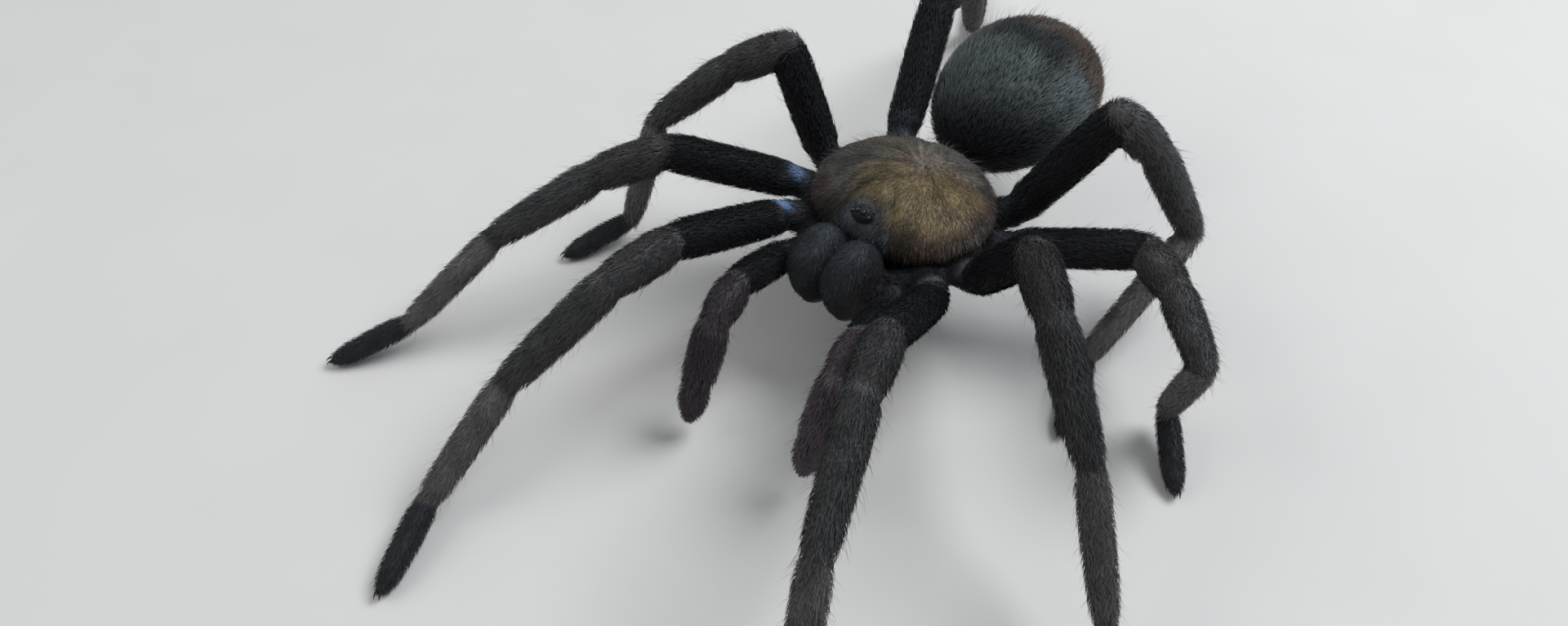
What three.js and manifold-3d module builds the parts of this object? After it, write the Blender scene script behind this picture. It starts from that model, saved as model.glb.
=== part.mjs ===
// A mature male tarantula, life size, walking with all eight feet on the floor.
// Units are millimetres. +Z is up and the head faces -Y, so the animal's left is +X.
// The origin is on the floor under the middle of the whole animal.
import * as THREE from 'three';
import { mergeVertices } from 'three/addons/utils/BufferGeometryUtils.js';
import Module from 'manifold-3d';

const wasm = await Module();
wasm.setup();

// ---------------------------------------------------------------- driving sizes

const bodyHeight = 14.1; // middle of the carapace above the floor
const bodyPitch = -2.2; // degrees, the head end a little low
const jointGap = 0.3; // between neighbouring pieces
const jointDepth = 40; // size of the blocks that trim a joint

const carapace = { halfWidth: 9.6, frontLength: 8.2, rearLength: 8.8, dome: 3.5, rim: 0.7 };
const headRise = { height: 1.9, y: -4.7, width: 3.8, length: 3.6 };
const fovea = { depth: 0.7, y: 3.2, radius: 1.3 };
const sternum = { halfWidth: 6.6, halfLength: 7.4, halfHeight: 2.4, z: -3.1 };
const coxa = { radius: 1.85, rootReach: 0.42, rootZ: -3.3 };
const eyeMound = { halfWidth: 1.25, halfLength: 0.85, height: 0.95, y: -6.7, z: 2.85 };
const eyeRows = [
  { count: 4, y: -0.42, step: 0.62, radius: 0.26 },
  { count: 4, y: 0.3, step: 0.6, radius: 0.2 },
];
const chelicera = {
  x: 2.0,
  y: -10.85,
  z: -1.65,
  halfWidth: 2.35,
  halfLength: 3.75,
  halfHeight: 4.05,
  droop: 14, // degrees, the front lower
  fullness: 0.85, // under 1 makes the lobe boxier than an egg
  taper: 0.15, // wider above, narrower toward the fang
};
const fang = { length: 6.4, radius: 0.75, bend: 70, pitch: 300, x: 2.0, y: -12.7, z: -4.7 }; // folded back
const abdomen = {
  halfWidth: 8.6,
  halfLength: 10.7,
  halfHeight: 6.3,
  y: 20.5,
  z: 0.3,
  rearSwell: 0.1,
  tilt: 9, // degrees, the rear end higher
};
const pedicel = { radius: 1.3, fromY: 8.4, fromZ: -2.2, toY: 13, toZ: -1.7 };
const spinneret = { length: 4.0, radius: 0.8, x: 1.5, y: 30.4, z: -1.6, spread: 10, lift: 5 };

const toe = { radius: 1.12, restHeight: 0.9 }; // a toe ball sunk this far makes the small flat
const hook = { radius: 0.55, length: 2.0 }; // mating hooks under the front shins

// Lengths from the hip to the toe: femur, patella, tibia, metatarsus, tarsus.
// Each girth is the radius over the coat at every joint, hip first.
const legKinds = {
  1: { lengths: [16, 8, 14, 13, 9], girths: [1.95, 2.05, 1.95, 1.6, 1.4, 1.12] },
  2: { lengths: [15, 7.5, 12.5, 12.5, 8.5], girths: [1.95, 2.05, 1.95, 1.5, 1.3, 1.12] },
  3: { lengths: [13, 6.5, 10.5, 13, 8], girths: [1.95, 2.05, 1.9, 1.45, 1.25, 1.12] },
  4: { lengths: [15.5, 6.5, 13, 17, 9], girths: [1.95, 2.1, 1.95, 1.5, 1.3, 1.12] },
};
const hipZ = -1.5;
const palpKind = {
  hipZ: -3.0,
  lengths: [9.6, 5.2, 7.8, 4.8],
  girths: [1.65, 1.75, 1.7, 1.65, 1.25],
};
const rodSides = 8;
const swell = 0.12; // how far the middle of a segment stands out beyond a straight taper

// The pose. A heading is the compass turn of a segment, outward from straight ahead;
// a lift is its slope above level. The last lift of a leg follows from the floor.
const legPose = {
  right_leg_1: {
    side: -1,
    pair: 1,
    hip: [8.9, -7.8],
    headings: [5, 0, 29, 5, -22],
    lifts: [22, 6, -40, -37],
  },
  right_leg_2: {
    side: -1,
    pair: 2,
    hip: [10.9, -3.1],
    headings: [37, 45, 36, 21, 31],
    lifts: [26, -19, -28, -35],
  },
  right_leg_3: {
    side: -1,
    pair: 3,
    hip: [11.4, 1.9],
    headings: [75, 57, 53, 23, 22],
    lifts: [70, -26, -41, -72],
  },
  right_leg_4: {
    side: -1,
    pair: 4,
    hip: [6.9, 9.3],
    headings: [161, 166, 158, 154, 154],
    lifts: [38, -12, -29, -51],
  },
  left_leg_1: {
    side: 1,
    pair: 1,
    hip: [9.5, -8.0],
    headings: [15, 22, 23, 25, 24],
    lifts: [31, 10, -16, -50],
  },
  left_leg_2: {
    side: 1,
    pair: 2,
    hip: [11.3, -3.5],
    headings: [56, 44, 57, 46, 45],
    lifts: [52, 0, -41, -41],
  },
  left_leg_3: {
    side: 1,
    pair: 3,
    hip: [11.4, 2.1],
    headings: [123, 52, 40, 216, 38],
    lifts: [4, 7, 5, -66],
  },
  left_leg_4: {
    side: 1,
    pair: 4,
    hip: [9.1, 6.85],
    headings: [115, 139, 139, -8, 16],
    lifts: [59, -46, -61, -27],
  },
};
const palpPose = {
  right_palp: { side: -1, hip: [6.2, -10.7], headings: [-8, -16, 15, 1], lifts: [21, -3, -72, -71] },
  left_palp: { side: 1, hip: [6.2, -10.7], headings: [18, 16, -12, -27], lifts: [27, 9, -68, -77] },
};

// ---------------------------------------------------------------- materials

const coatBlack = new THREE.MeshStandardMaterial({ color: 0x121110, roughness: 0.85, metalness: 0 });
const coatBrown = new THREE.MeshStandardMaterial({ color: 0x2d2725, roughness: 0.85, metalness: 0 });
const coatGolden = new THREE.MeshStandardMaterial({ color: 0x54462c, roughness: 0.75, metalness: 0 });
const coatGrey = new THREE.MeshStandardMaterial({ color: 0x26272b, roughness: 0.8, metalness: 0 });
const fangHorn = new THREE.MeshStandardMaterial({ color: 0x1a0b07, roughness: 0.25, metalness: 0 });
const eyeGloss = new THREE.MeshStandardMaterial({ color: 0x0b0a0a, roughness: 0.2, metalness: 0 });

// ---------------------------------------------------------------- small helpers

const radians = (degrees) => THREE.MathUtils.degToRad(degrees);
const bump = (value, middle, width) => Math.exp(-(((value - middle) / width) ** 2));

// A closed solid, ready to be cut, from a surface whose corners are first joined.
function solidOf(geometry) {
  const plain = geometry.clone();
  plain.deleteAttribute('normal');
  plain.deleteAttribute('uv');
  const merged = mergeVertices(plain, 1e-4);
  return new wasm.Manifold(new wasm.Mesh({
    numProp: 3,
    vertProperties: new Float32Array(merged.attributes.position.array),
    triVerts: new Uint32Array(merged.index.array),
  }));
}

function geometryOf(solid) {
  const mesh = solid.getMesh();
  const geometry = new THREE.BufferGeometry();
  geometry.setAttribute('position', new THREE.BufferAttribute(new Float32Array(mesh.vertProperties), 3));
  geometry.setIndex(new THREE.BufferAttribute(new Uint32Array(mesh.triVerts), 1));
  geometry.computeVertexNormals();
  return geometry;
}

function movePoints(geometry, change) {
  const points = geometry.attributes.position;
  const point = new THREE.Vector3();
  for (let i = 0; i < points.count; i += 1) {
    point.fromBufferAttribute(points, i);
    change(point);
    points.setXYZ(i, point.x, point.y, point.z);
  }
  return geometry;
}

// A block that covers everything ahead of a point along a normal.
function blockAhead(point, normal) {
  const block = new THREE.BoxGeometry(jointDepth, jointDepth, jointDepth);
  const turn = new THREE.Quaternion().setFromUnitVectors(new THREE.Vector3(0, 0, 1), normal);
  block.applyQuaternion(turn);
  const centre = point.clone().addScaledVector(normal, jointDepth / 2);
  block.translate(centre.x, centre.y, centre.z);
  return solidOf(block);
}

// A ball-ended rod from the origin along +Y, with a radius at either end.
function rod(length, startRadius, endRadius, bulge = swell, capSteps = 2, bodySteps = 2) {
  const profile = [new THREE.Vector2(0, -startRadius)];
  for (let i = 1; i <= capSteps; i += 1) {
    const angle = (Math.PI / 2) * (1 - i / (capSteps + 0.35));
    profile.push(new THREE.Vector2(startRadius * Math.cos(angle), -startRadius * Math.sin(angle)));
  }
  for (let i = 0; i <= bodySteps; i += 1) {
    const along = i / bodySteps;
    const radius = startRadius + (endRadius - startRadius) * along + bulge * Math.sin(Math.PI * along);
    profile.push(new THREE.Vector2(radius, length * along));
  }
  for (let i = capSteps; i >= 1; i -= 1) {
    const angle = (Math.PI / 2) * (1 - i / (capSteps + 0.35));
    profile.push(new THREE.Vector2(endRadius * Math.cos(angle), length + endRadius * Math.sin(angle)));
  }
  profile.push(new THREE.Vector2(0, length + endRadius));
  return new THREE.LatheGeometry(profile, rodSides);
}

function direction(side, heading, lift) {
  const level = Math.cos(radians(lift));
  return new THREE.Vector3(
    side * Math.sin(radians(heading)) * level,
    -Math.cos(radians(heading)) * level,
    Math.sin(radians(lift)),
  );
}

// ---------------------------------------------------------------- the frame of the body

const spider = new THREE.Group();
spider.name = 'spider';
const body = new THREE.Group();
body.name = 'body';
body.position.set(0, 0, bodyHeight);
body.rotation.x = radians(-bodyPitch);
body.updateMatrix();
spider.add(body);

const inWorld = (point) => point.clone().applyMatrix4(body.matrix);

function addMesh(parent, name, geometry, material) {
  const mesh = new THREE.Mesh(geometry, material);
  mesh.name = name;
  parent.add(mesh);
  return mesh;
}

// ---------------------------------------------------------------- carapace

// A low dome with a raised head and a pit behind the middle.
function carapaceShell(grow, around, rings) {
  const shell = new THREE.SphereGeometry(1, around, rings);
  shell.rotateX(Math.PI / 2);
  return movePoints(shell, (point) => {
    const reach = point.y < 0 ? carapace.frontLength : carapace.rearLength;
    const upward = point.z > 0;
    const inner = 1 - point.x ** 2 - point.y ** 2;
    const x = point.x * (carapace.halfWidth + grow);
    const y = point.y * (reach + grow);
    const rise = headRise.height * bump(y, headRise.y, headRise.length) * bump(x, 0, headRise.width);
    const pit = fovea.depth * bump(y, fovea.y, fovea.radius) * bump(x, 0, fovea.radius);
    const flatness = Math.max(inner, 0) ** 0.15;
    const top = point.z * carapace.dome + (rise - pit) * flatness;
    point.set(x, y, upward ? top + grow * point.z : point.z * (carapace.rim + grow));
  });
}

addMesh(body, 'carapace', carapaceShell(0, 24, 10), coatGolden);
const carapaceRoom = solidOf(carapaceShell(jointGap * 1.5, 16, 6));

// ---------------------------------------------------------------- underside with the coxae

const hipOf = (pose, z) => new THREE.Vector3(pose.side * pose.hip[0], pose.hip[1], z);
const placeRod = (from, to, startRadius, endRadius, capSteps, bodySteps) => {
  const along = to.clone().sub(from);
  const geometry = rod(along.length(), startRadius, endRadius, 0, capSteps, bodySteps);
  geometry.applyQuaternion(new THREE.Quaternion().setFromUnitVectors(
    new THREE.Vector3(0, 1, 0), along.clone().normalize()));
  return geometry.translate(from.x, from.y, from.z);
};

// Where a coxa starts under the sternum, and the way it points.
const coxaRoot = (hip) => new THREE.Vector3(hip.x * coxa.rootReach, hip.y * coxa.rootReach, coxa.rootZ);
const coxaDirection = (hip) => hip.clone().sub(coxaRoot(hip)).normalize();

// ---------------------------------------------------------------- limbs

const limbs = [];
for (const [name, pose] of Object.entries(legPose)) {
  limbs.push({ name, pose, kind: legKinds[pose.pair], hipZ, isLeg: true,
    parts: ['femur', 'patella', 'tibia', 'metatarsus', 'tarsus'] });
}
for (const [name, pose] of Object.entries(palpPose)) {
  limbs.push({ name, pose, kind: palpKind, hipZ: palpKind.hipZ, isLeg: false,
    parts: ['femur', 'patella', 'tibia', 'tarsus'] });
}

// Joint centres and segment directions of a limb, in the frame of the floor.
function skeleton(limb) {
  const { pose, kind } = limb;
  const hip = hipOf(pose, limb.hipZ);
  const joints = [inWorld(hip)];
  const directions = [];
  kind.lengths.forEach((length, i) => {
    const start = joints[i];
    let lift = pose.lifts[i];
    if (lift === undefined) {
      lift = THREE.MathUtils.radToDeg(Math.asin((toe.restHeight - start.z) / length));
    }
    const way = direction(pose.side, pose.headings[i], lift);
    directions.push(way);
    joints.push(start.clone().addScaledVector(way, length));
  });
  return { hip, joints, directions };
}

// Half of the gap is taken from either side of the plane that halves the bend.
function trimJoint(solid, joint, before, after, keepAfter) {
  const normal = before.clone().add(after).normalize();
  const outward = keepAfter ? normal.clone().negate() : normal;
  const point = joint.clone().addScaledVector(outward, -jointGap / 2);
  return solid.subtract(blockAhead(point, outward));
}

const matingHook = (length, radius) => {
  const spur = new THREE.ConeGeometry(hook.radius, hook.length, 6);
  spur.rotateX(Math.PI / 2);
  spur.translate(0, length, radius + hook.length / 3);
  return solidOf(spur);
};

const coxaEnds = [];
for (const limb of limbs) {
  const { hip, joints, directions } = skeleton(limb);
  const hipWay = coxaDirection(hip).transformDirection(body.matrix);
  coxaEnds.push({ hip, hipWay, femurWay: directions[0], girth: limb.kind.girths[0] });
  const carapaceInWorld = solidOf(geometryOf(carapaceRoom).applyMatrix4(body.matrix));
  limb.parts.forEach((part, i) => {
    const start = joints[i];
    const way = directions[i];
    const length = limb.kind.lengths[i];
    const isLast = i === limb.parts.length - 1;
    const turn = new THREE.Quaternion().setFromUnitVectors(new THREE.Vector3(0, 1, 0), way);
    // The ball of the last segment ends at the toe, or at the end of the palp.
    const reach = isLast && !limb.isLeg ? length - limb.kind.girths[i + 1] : length;
    const straight = rod(reach, limb.kind.girths[i], limb.kind.girths[i + 1]);
    straight.applyQuaternion(turn).translate(start.x, start.y, start.z);
    let solid = solidOf(straight);
    if (limb.isLeg && limb.pose.pair === 1 && part === 'tibia') {
      const down = new THREE.Vector3(0, 0, -1).applyQuaternion(turn.clone().invert());
      const roll = new THREE.Quaternion().setFromAxisAngle(
        new THREE.Vector3(0, 1, 0), Math.atan2(down.x, down.z));
      const spur = geometryOf(matingHook(length * 0.84, limb.kind.girths[i + 1]));
      spur.applyQuaternion(roll).applyQuaternion(turn).translate(start.x, start.y, start.z);
      solid = solid.add(solidOf(spur));
    }
    solid = trimJoint(solid, start, i === 0 ? hipWay : directions[i - 1], way, true);
    if (!isLast) {
      solid = trimJoint(solid, joints[i + 1], way, directions[i + 1], false);
    }
    if (i === 0) {
      solid = solid.subtract(carapaceInWorld);
    }
    if (isLast && limb.isLeg) {
      const floorPoint = new THREE.Vector3(start.x, start.y, 0);
      solid = solid.subtract(blockAhead(floorPoint, new THREE.Vector3(0, 0, -1)));
    }
    const geometry = geometryOf(solid).translate(-start.x, -start.y, -start.z);
    const coat = part === 'femur' ? coatBlack : coatBrown;
    const mesh = addMesh(spider, `${limb.name}_${part}`, geometry, coat);
    mesh.position.copy(start);
  });
}

// The sternum and all ten coxae are one piece, squared off where each thigh begins.
function undersideSolid(grow) {
  const plate = new THREE.SphereGeometry(1, 16, 8);
  plate.scale(sternum.halfWidth + grow, sternum.halfLength + grow, sternum.halfHeight + grow);
  plate.translate(0, 0, sternum.z);
  const toBody = new THREE.Quaternion().setFromRotationMatrix(body.matrix).invert();
  let solid = solidOf(plate);
  for (const end of coxaEnds) {
    const hipWay = end.hipWay.clone().applyQuaternion(toBody);
    const femurWay = end.femurWay.clone().applyQuaternion(toBody);
    const bar = placeRod(coxaRoot(end.hip), end.hip, coxa.radius + grow, end.girth + grow, 1, 1);
    solid = solid.add(trimJoint(solidOf(bar), end.hip, hipWay, femurWay, false));
  }
  return solid;
}

addMesh(body, 'underside', geometryOf(undersideSolid(0).subtract(carapaceRoom)), coatBlack);
const undersideRoom = undersideSolid(jointGap);

// ---------------------------------------------------------------- eyes

// Eight small eyes in two rows on one low mound behind the front edge.
function eyes() {
  const mound = new THREE.SphereGeometry(1, 10, 6);
  mound.scale(eyeMound.halfWidth, eyeMound.halfLength, eyeMound.height);
  let solid = solidOf(mound);
  for (const row of eyeRows) {
    for (let i = 0; i < row.count; i += 1) {
      const x = (i - (row.count - 1) / 2) * row.step;
      const slope = 1 - (x / eyeMound.halfWidth) ** 2 - (row.y / eyeMound.halfLength) ** 2;
      const ball = new THREE.SphereGeometry(row.radius, 6, 3);
      ball.translate(x, row.y, eyeMound.height * Math.sqrt(Math.max(slope, 0.04)));
      solid = solid.add(solidOf(ball));
    }
  }
  const placed = geometryOf(solid).translate(0, eyeMound.y, eyeMound.z);
  return geometryOf(solidOf(placed).subtract(carapaceRoom));
}

addMesh(body, 'eyes', eyes(), eyeGloss);

// ---------------------------------------------------------------- chelicerae and fangs

// A fat lobe, flat where it meets its neighbour on the midline.
function cheliceraSolid(side, grow) {
  const lobe = new THREE.SphereGeometry(1, 14, 10);
  const fuller = (share) => Math.sign(share) * Math.abs(share) ** chelicera.fullness;
  movePoints(lobe, (point) => {
    const upright = fuller(point.z);
    point.set(
      fuller(point.x) * (chelicera.halfWidth + grow) * (1 + chelicera.taper * upright),
      fuller(point.y) * (chelicera.halfLength + grow),
      upright * (chelicera.halfHeight + grow),
    );
  });
  lobe.rotateX(radians(chelicera.droop));
  lobe.translate(side * chelicera.x, chelicera.y, chelicera.z);
  const midline = new THREE.Vector3(side * (jointGap / 2 - grow), 0, 0);
  return solidOf(lobe).subtract(blockAhead(midline, new THREE.Vector3(-side, 0, 0)));
}

// A cone bent along an arc, from the origin along +Y and round toward +Z.
function fangGeometry() {
  const profile = [new THREE.Vector2(0, 0)];
  const steps = 4;
  for (let i = 0; i < steps; i += 1) {
    const along = i / steps;
    profile.push(new THREE.Vector2(fang.radius * (1 - along) ** 0.7 + 0.12, fang.length * along));
  }
  profile.push(new THREE.Vector2(0, fang.length));
  const arc = fang.length / radians(fang.bend);
  return movePoints(new THREE.LatheGeometry(profile, 6), (point) => {
    const angle = point.y / arc;
    point.set(point.x, (arc - point.z) * Math.sin(angle), arc - (arc - point.z) * Math.cos(angle));
  });
}

for (const [word, side] of [['right', -1], ['left', 1]]) {
  const lobe = cheliceraSolid(side, 0).subtract(carapaceRoom).subtract(undersideRoom);
  addMesh(body, `${word}_chelicera`, geometryOf(lobe), coatGrey);
  const tooth = fangGeometry();
  tooth.rotateX(radians(fang.pitch));
  tooth.translate(side * fang.x, fang.y, fang.z);
  const bare = solidOf(tooth).subtract(cheliceraSolid(side, jointGap));
  addMesh(body, `${word}_fang`, geometryOf(bare), fangHorn);
}

// ---------------------------------------------------------------- abdomen and spinnerets

// An egg, fuller to the rear.
function abdomenSolid(grow) {
  const egg = new THREE.SphereGeometry(1, 20, 12);
  movePoints(egg, (point) => {
    const fullness = 1 + abdomen.rearSwell * point.y;
    point.set(
      point.x * (abdomen.halfWidth + grow) * fullness,
      point.y * (abdomen.halfLength + grow),
      point.z * (abdomen.halfHeight + grow) * fullness,
    );
  });
  egg.rotateX(radians(abdomen.tilt));
  egg.translate(0, abdomen.y, abdomen.z);
  return solidOf(egg);
}

function abdomenWithStalk() {
  const from = new THREE.Vector3(0, pedicel.fromY, pedicel.fromZ);
  const to = new THREE.Vector3(0, pedicel.toY, pedicel.toZ);
  const stalk = solidOf(placeRod(from, to, pedicel.radius, pedicel.radius, 1, 1));
  return geometryOf(abdomenSolid(0).add(stalk).subtract(carapaceRoom).subtract(undersideRoom));
}

addMesh(body, 'abdomen', abdomenWithStalk(), coatGrey);

for (const [word, side] of [['right', -1], ['left', 1]]) {
  const way = direction(side, 180 - spinneret.spread, spinneret.lift);
  const root = new THREE.Vector3(side * spinneret.x, spinneret.y, spinneret.z);
  const end = root.clone().addScaledVector(way, spinneret.length);
  const tail = solidOf(placeRod(root, end, spinneret.radius, spinneret.radius * 0.6, 1, 2));
  addMesh(body, `${word}_spinneret`, geometryOf(tail.subtract(abdomenSolid(jointGap))), coatBrown);
}

// ---------------------------------------------------------------- the origin

spider.updateMatrixWorld(true);
const bounds = new THREE.Box3().setFromObject(spider, true);
const middle = bounds.getCenter(new THREE.Vector3());
spider.position.set(-middle.x, -middle.y, -bounds.min.z);
const group = new THREE.Group();
group.name = 'tarantula';
group.add(spider);

export default group;
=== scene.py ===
import bpy
import bmesh
import math
import numpy as np
from mathutils import Matrix, Vector


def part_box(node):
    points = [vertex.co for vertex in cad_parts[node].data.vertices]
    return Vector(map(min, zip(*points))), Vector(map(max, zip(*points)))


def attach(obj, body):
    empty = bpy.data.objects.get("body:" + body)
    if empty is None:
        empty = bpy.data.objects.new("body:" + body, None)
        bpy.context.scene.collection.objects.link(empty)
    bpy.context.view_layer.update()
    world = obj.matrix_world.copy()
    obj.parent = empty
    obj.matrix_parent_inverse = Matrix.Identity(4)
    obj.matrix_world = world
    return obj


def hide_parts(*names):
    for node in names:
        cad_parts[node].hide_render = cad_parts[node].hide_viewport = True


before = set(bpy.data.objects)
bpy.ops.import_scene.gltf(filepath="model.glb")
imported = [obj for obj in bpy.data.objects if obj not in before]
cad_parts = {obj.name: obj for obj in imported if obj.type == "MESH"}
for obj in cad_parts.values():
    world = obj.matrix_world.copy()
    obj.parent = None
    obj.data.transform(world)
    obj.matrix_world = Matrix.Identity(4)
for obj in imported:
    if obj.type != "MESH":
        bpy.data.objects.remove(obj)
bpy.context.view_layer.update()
scene = bpy.context.scene
chance = np.random.default_rng(18)  # every random choice below comes from this
mm = 0.001
print("frame loaded:", len(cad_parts), "nodes")

# skeleton: the hips, lengths, girths and angles that the solids were built with

stance = {"height": 14.1, "tilt": 2.2, "toeHeight": 0.9, "plateBehind": 0.3}
limbKinds = {  # by pair of limbs, the palps are pair 0
    0: {"lengths": (9.6, 5.2, 7.8, 4.8), "girths": (1.65, 1.75, 1.7, 1.65, 1.25)},
    1: {"lengths": (16, 8, 14, 13, 9), "girths": (1.95, 2.05, 1.95, 1.6, 1.4, 1.12)},
    2: {"lengths": (15, 7.5, 12.5, 12.5, 8.5), "girths": (1.95, 2.05, 1.95, 1.5, 1.3, 1.12)},
    3: {"lengths": (13, 6.5, 10.5, 13, 8), "girths": (1.95, 2.05, 1.9, 1.45, 1.25, 1.12)},
    4: {"lengths": (15.5, 6.5, 13, 17, 9), "girths": (1.95, 2.1, 1.95, 1.5, 1.3, 1.12)},
}
legParts = ("femur", "patella", "tibia", "metatarsus", "tarsus")
palpParts = ("femur", "patella", "tibia", "tarsus")
hipLook = {"legZ": -1.5, "palpZ": -3.0, "rootShare": 0.42, "rootZ": -3.3, "rootRadius": 1.85,
           "gapShare": 0.76, "gapZ": -2.4, "gapRadius": 1.25}
# headings are degrees out from straight ahead and lifts degrees up from level, hip to foot
poseColumns = ("side", "pair", "hip", "headings", "lifts")
poseRows = {
    "right_leg_1": (-1, 1, (8.9, -7.8), (5, 0, 29, 5, -22), (22, 6, -40, -37)),
    "right_leg_2": (-1, 2, (10.9, -3.1), (37, 45, 36, 21, 31), (26, -19, -28, -35)),
    "right_leg_3": (-1, 3, (11.4, 1.9), (75, 57, 53, 23, 22), (70, -26, -41, -72)),
    "right_leg_4": (-1, 4, (6.9, 9.3), (161, 166, 158, 154, 154), (38, -12, -29, -51)),
    "left_leg_1": (1, 1, (9.5, -8.0), (15, 22, 23, 25, 24), (31, 10, -16, -50)),
    "left_leg_2": (1, 2, (11.3, -3.5), (56, 44, 57, 46, 45), (52, 0, -41, -41)),
    "left_leg_3": (1, 3, (11.4, 2.1), (123, 52, 40, 216, 38), (4, 7, 5, -66)),
    "left_leg_4": (1, 4, (9.1, 6.85), (115, 139, 139, -8, 16), (59, -46, -61, -27)),
    "right_palp": (-1, 0, (6.2, -10.7), (-8, -16, 15, 1), (21, -3, -72, -71)),
    "left_palp": (1, 0, (6.2, -10.7), (18, 16, -12, -27), (27, 9, -68, -77)),
}
limbPose = {name: dict(zip(poseColumns, row)) for name, row in poseRows.items()}

plateLow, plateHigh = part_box("carapace")
plateMiddle = (plateLow + plateHigh) / 2  # it lies a little behind the middle of the body
standPoint = Vector((plateMiddle.x, plateMiddle.y - stance["plateBehind"] * mm, stance["height"] * mm))
bodyPlace = Matrix.Translation(standPoint) @ Matrix.Rotation(math.radians(stance["tilt"]), 4, "X")


def bodyPoint(x, y, z):
    return bodyPlace @ (Vector((x, y, z)) * mm)


def bodyWay(x, y, z):
    return (bodyPlace.to_3x3() @ Vector((x, y, z))).normalized()


def segmentWay(side, heading, lift):
    turn, slope = math.radians(heading), math.radians(lift)
    level = math.cos(slope)
    return Vector((side * math.sin(turn) * level, -math.cos(turn) * level, math.sin(slope)))


def limbJoints(hip, side, lengths, headings, lifts):
    joints, ways = [hip], []
    for i, length in enumerate(lengths):
        if i < len(lifts):
            lift = lifts[i]
        else:  # the foot comes down until the toe rests on the floor
            lift = math.degrees(math.asin((stance["toeHeight"] * mm - joints[-1].z) / (length * mm)))
        ways.append(segmentWay(side, headings[i], lift))
        joints.append(joints[-1] + ways[-1] * length * mm)
    return joints, ways


limbs = {}
for name, pose in limbPose.items():
    isLeg = "leg" in name
    kind = limbKinds[pose["pair"]]
    hip = bodyPoint(pose["side"] * pose["hip"][0], pose["hip"][1], hipLook["legZ" if isLeg else "palpZ"])
    joints, ways = limbJoints(hip, pose["side"], kind["lengths"], pose["headings"], pose["lifts"])
    limbs[name] = {"joints": joints, "ways": ways, "parts": legParts if isLeg else palpParts,
                   "kind": kind, "pose": pose}

# flesh: rods and eggs that the one skin is drawn over, each with the coat's depth on it

coatDepth = {"femur": 0.26, "patella": 0.27, "tibia": 0.30, "metatarsus": 0.25, "tarsus": 0.2,
             "coxa": 0.28, "sternum": 0.25, "abdomen": 0.45, "pedicel": 0.2, "chelicera": 0.2,
             "spinneret": 0.16, "hook": 0.12}
trunkLook = {
    "sternum": {"centre": (0, 0, -3.1), "radii": (6.6, 7.4, 2.4), "tilt": 0},
    "abdomen": {"centre": (0, 20.5, 0.3), "radii": (8.6, 10.7, 6.3), "tilt": 9, "swell": 0.1},
    "chelicera": {"centre": (2.0, -10.85, -1.65), "radii": (2.35, 3.75, 4.05), "tilt": 14,
                  "fullness": 0.85, "taper": 0.15},
}
spinneretLook = {"length": 4.0, "radii": (0.68, 0.48), "shortLength": 0.9, "shortRadii": (0.6, 0.45),
                 "x": 1.5, "y": 30.4, "z": -1.6, "sunk": 1.6, "spread": 10, "lift": 5}
# rods of the trunk, in millimetres from the middle of the body
pedicelLook = {"start": (0, 8.4, -2.2), "end": (0, 13, -1.7), "radii": (1.05, 1.3)}
jawPlateLook = {"start": (2.4, -8.4, -3.8), "end": (5.2, -10.3, -3.3), "radii": (1.2, 1.25)}
mouthLook = {"start": (-1.6, -8.0, -0.9), "end": (1.6, -8.0, -0.9), "radii": (1.3, 1.3)}
shinHookLook = {"at": 0.84, "rootDown": 0.9, "ahead": 0.5, "radii": (0.42, 0.2),
                "tips": ((2.35, 0.35), (1.95, -0.35))}  # how far down and how far ahead each tip is
limbShape = {"pinch": 0.26, "swell": 0.1, "palpDepthShare": 0.8}
cheekGap = 0.32  # the flat inner cheeks of the two jaws lie this far off the midline
flesh = []  # every rod and egg, in the order they are made


def addRod(start, end, startRadius, endRadius, part, piece, pinch=0.0, swell=0.0, along=0.0):
    flesh.append({"shape": "rod", "start": np.array(start), "end": np.array(end), "part": part,
                  "piece": piece, "radii": (startRadius * mm, endRadius * mm), "pinch": pinch * mm,
                  "swell": swell * mm, "along": along})


def addTrunkRod(look, part, piece, side=1):
    start, end = (bodyPoint(side * x, y, z) for x, y, z in (look["start"], look["end"]))
    addRod(start, end, *look["radii"], part, piece)


def addEgg(part, piece, side=1):
    look = trunkLook[part]
    x, y, z = look["centre"]
    turn = bodyPlace.to_3x3() @ Matrix.Rotation(math.radians(look["tilt"]), 3, "X")
    flesh.append({"shape": "egg", "centre": np.array(bodyPoint(side * x, y, z)), "turn": np.array(turn),
                  "radii": (np.array(look["radii"]) - coatDepth[part]) * mm, "part": part, "piece": piece,
                  "swell": look.get("swell", 0.0), "fullness": look.get("fullness", 1.0),
                  "taper": look.get("taper", 0.0), "side": side, "along": 0.0})


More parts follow.
